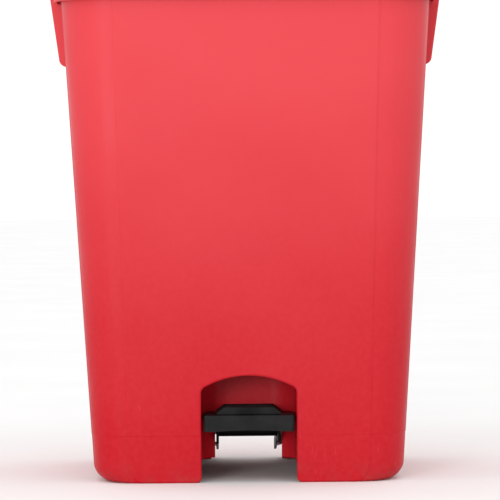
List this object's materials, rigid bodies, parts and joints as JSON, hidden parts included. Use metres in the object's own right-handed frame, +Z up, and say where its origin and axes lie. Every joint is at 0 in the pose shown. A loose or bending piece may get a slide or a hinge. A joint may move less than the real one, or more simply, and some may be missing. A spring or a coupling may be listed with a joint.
{
  "type": "pedal bin",
  "caption": "Tapered plastic step-on waste bin with side handles, an arched foot opening and a hinged lid that a pedal lifts through a rod at the back.",
  "frame": {"origin": "on the floor under the middle of the bin's bounding box", "axes": "+Z up; the foot opening and pedal face -Y; +X is to the right seen from the front"},
  "size_m": [0.4526, 0.43, 0.648],
  "materials": {
    "body_red": "satin moulded polypropylene",
    "lever_black": "fine-grained moulding",
    "black_rubber": "matt, ribbed",
    "dark_nylon": "smooth nylon",
    "zinc_steel": "bright zinc plate"
  },
  "bodies": {
    "body": {"body_shell": "body_red", "pivot_bracket_right": "lever_black", "pivot_bracket_left": "lever_black", "hinge_pin_left": "dark_nylon", "hinge_pin_right": "dark_nylon", "bracket_screw_left_front": "zinc_steel", "bracket_screw_left_rear": "zinc_steel", "bracket_screw_right_front": "zinc_steel", "bracket_screw_right_rear": "zinc_steel", "rod_guide_lower": "lever_black", "rod_guide_upper": "lever_black", "guide_screw_lower_left": "zinc_steel", "guide_screw_lower_right": "zinc_steel", "guide_screw_upper_left": "zinc_steel", "guide_screw_upper_right": "zinc_steel", "pivot_axle": "zinc_steel", "axle_cap_right": "dark_nylon", "axle_cap_left": "dark_nylon"},
    "lid": {"lid_shell": "body_red", "rod_catch": "lever_black", "lid_bumper_front_left": "black_rubber", "lid_bumper_front_right": "black_rubber", "lid_bumper_side_left": "black_rubber", "lid_bumper_side_right": "black_rubber", "catch_screw_left": "zinc_steel", "catch_screw_right": "zinc_steel"},
    "pedal": {"pedal_lever": "lever_black", "tread_pad": "black_rubber"},
    "rod": {"push_rod": "zinc_steel", "bar_sleeve": "dark_nylon"}
  },
  "joints": [
    {"name": "lid_hinge", "type": "hinge", "parent": "body", "child": "lid", "pos_m": [0, 0.208, 0.603], "axis": [-1, 0, 0], "range_deg": [0, 78]},
    {"name": "pedal_pivot", "type": "hinge", "parent": "body", "child": "pedal", "pos_m": [0, -0.005, 0.0455], "axis": [1, 0, 0], "range_deg": [0, 9.46]},
    {"name": "push_rod_slide", "type": "slide", "parent": "body", "child": "rod", "axis": [0, 0.0602, 0.9982], "range_m": [0, 0.0267]}
  ],
  "couplings": [
    {"joint": "pedal_pivot", "follows": "lid_hinge", "ratio": 0.12119},
    {"joint": "push_rod_slide", "follows": "lid_hinge", "m_per_rad": 0.019611}
  ]
}
